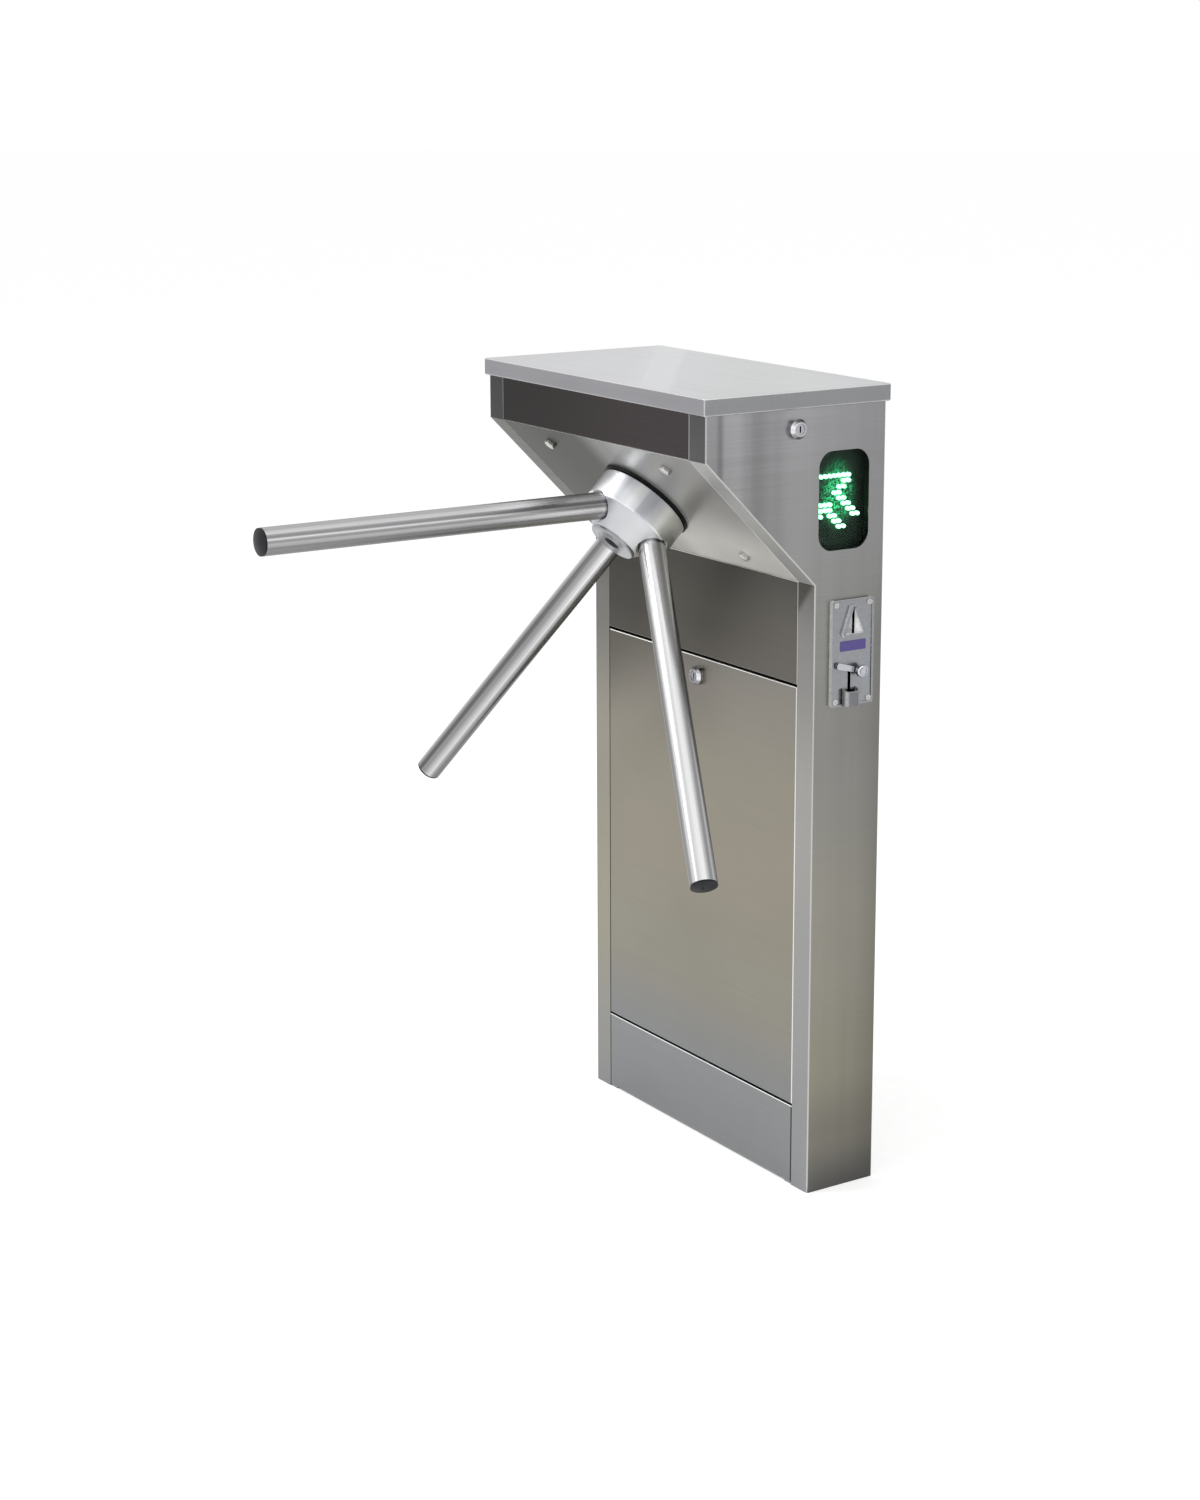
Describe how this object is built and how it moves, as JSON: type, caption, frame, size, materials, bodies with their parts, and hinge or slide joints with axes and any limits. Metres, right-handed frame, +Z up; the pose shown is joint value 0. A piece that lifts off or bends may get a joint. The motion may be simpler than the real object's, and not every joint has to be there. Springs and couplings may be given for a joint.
{
  "type": "tripod turnstile",
  "caption": "Waist-high tripod turnstile in stainless steel: a leaning head with a rotating three-arm hub, a display window and a coin plate.",
  "frame": {"origin": "centre of the column's footprint, on the floor", "axes": "+Z up, -Y towards the passage that the arms close, +X towards the side with the display and the coin plate"},
  "size_m": [0.6628, 0.7098, 1],
  "materials": {
    "black_plastic": "fine texture",
    "black_steel": "blackened",
    "brass": "machined",
    "cast_aluminium": "satin",
    "circuit_board": "solder mask",
    "copper_coil": "varnished winding",
    "dark_plastic": "fine texture",
    "hard_steel": "ground",
    "lamp": "moulded",
    "lock_chrome": "plated",
    "plate_aluminium": "milled",
    "stainless": "brushed",
    "stainless_polished": "polished",
    "supply_case": "sheet",
    "window": "clear, slightly green",
    "zinc_steel": "zinc plated"
  },
  "bodies": {
    "cabinet": {"base_plate": "zinc_steel", "left_side_shell": "stainless", "right_side_shell": "stainless", "back_panel": "stainless", "band_panel": "stainless", "slant_panel": "stainless", "upper_panel": "stainless", "plinth_panel": "stainless", "slant_bolts": "stainless_polished", "neck_collar": "black_plastic", "mechanism_plate": "plate_aluminium", "rear_plate": "plate_aluminium", "spacer_pillars": "zinc_steel", "bearing_outer_rings": "hard_steel", "bearing_balls": "hard_steel", "damper_body": "black_steel", "solenoid_frames": "zinc_steel", "solenoid_coils": "copper_coil", "pawl_pins": "hard_steel", "position_sensors": "brass", "controller_board": "circuit_board", "power_supply": "supply_case", "indicator_window": "window", "indicator_housing": "black_plastic", "indicator_board": "circuit_board", "indicator_leds": "lamp", "coin_faceplate": "stainless", "coin_return_cup": "stainless", "coin_plate_screws": "stainless_polished", "coin_acceptor": "dark_plastic", "coin_chute": "zinc_steel", "coin_box": "zinc_steel", "lid_lock_barrel": "lock_chrome", "plunger_spring_a": "hard_steel", "plunger_spring_b": "hard_steel"},
    "tripod": {"hub": "cast_aluminium", "hub_cap": "stainless", "arm_barrier": "stainless_polished", "arm_left": "stainless_polished", "arm_right": "stainless_polished", "arm_end_caps": "black_plastic", "shaft": "hard_steel", "hub_screws": "black_steel", "locking_wheel": "hard_steel", "main_gear": "hard_steel", "shaft_nut": "zinc_steel", "bearing_inner_rings": "hard_steel"},
    "damper_rotor": {"damper_pinion": "brass"},
    "pawl_a": {"pawl_a": "hard_steel"},
    "pawl_b": {"pawl_b": "hard_steel"},
    "plunger_a": {"plunger_a": "zinc_steel"},
    "plunger_b": {"plunger_b": "zinc_steel"},
    "lid": {"lid": "stainless", "lid_catch": "zinc_steel"},
    "lid_lock": {"lid_lock_plug": "lock_chrome"},
    "door": {"door": "stainless", "door_lock_barrel": "lock_chrome"},
    "door_lock": {"door_lock_plug": "lock_chrome"},
    "coin_lever": {"coin_return_lever": "lock_chrome"}
  },
  "joints": [
    {"name": "tripod_turn", "type": "hinge", "parent": "cabinet", "child": "tripod", "pos_m": [0, -0.13, 0.846], "axis": [0, -0.7071, -0.7071], "continuous": true},
    {"name": "damper_turn", "type": "hinge", "parent": "cabinet", "child": "damper_rotor", "pos_m": [0, -0.0402, 0.82266], "axis": [0, -0.7071, -0.7071], "continuous": true},
    {"name": "pawl_a_swing", "type": "hinge", "parent": "cabinet", "child": "pawl_a", "pos_m": [0.07455, -0.12797, 0.88922], "axis": [0, -0.7071, -0.7071], "range_deg": [0, 8], "stiffness_Nm_per_rad": 0.2, "springref_deg": -22.35},
    {"name": "pawl_b_swing", "type": "hinge", "parent": "cabinet", "child": "pawl_b", "pos_m": [-0.07455, -0.12797, 0.88922], "axis": [0, 0.7071, 0.7071], "range_deg": [0, 8], "stiffness_Nm_per_rad": 0.2, "springref_deg": -22.35},
    {"name": "plunger_a_slide", "type": "slide", "parent": "cabinet", "child": "plunger_a", "axis": [0, -0.7071, 0.7071], "range_m": [0, 0.00366], "deforming": ["plunger_spring_a"]},
    {"name": "plunger_b_slide", "type": "slide", "parent": "cabinet", "child": "plunger_b", "axis": [0, -0.7071, 0.7071], "range_m": [0, 0.00366], "deforming": ["plunger_spring_b"]},
    {"name": "lid_open", "type": "hinge", "parent": "cabinet", "child": "lid", "pos_m": [-0.24125, 0, 0.979], "axis": [0, -1, 0], "range_deg": [0, 75]},
    {"name": "lid_lock_turn", "type": "hinge", "parent": "cabinet", "child": "lid_lock", "pos_m": [0.22, -0.081, 0.9556], "axis": [-1, 0, 0], "range_deg": [0, 90]},
    {"name": "door_tilt", "type": "hinge", "parent": "cabinet", "child": "door", "pos_m": [0, -0.031, 0.1115], "axis": [1, 0, 0], "range_deg": [0, 5.5]},
    {"name": "door_lock_turn", "type": "hinge", "parent": "door", "child": "door_lock", "pos_m": [0, -0.04, 0.614], "axis": [0, -1, 0], "range_deg": [0, 90]},
    {"name": "coin_lever_press", "type": "hinge", "parent": "cabinet", "child": "coin_lever", "pos_m": [0.245, -0.01905, 0.66725], "axis": [-1, 0, 0], "range_deg": [0, 20], "stiffness_Nm_per_rad": 0.05, "springref_deg": -20.05}
  ],
  "couplings": [
    {"joint": "damper_turn", "follows": "tripod_turn", "ratio": -3},
    {"joint": "plunger_a_slide", "follows": "pawl_a_swing", "m_per_rad": 0.026},
    {"joint": "plunger_b_slide", "follows": "pawl_b_swing", "m_per_rad": 0.026}
  ]
}
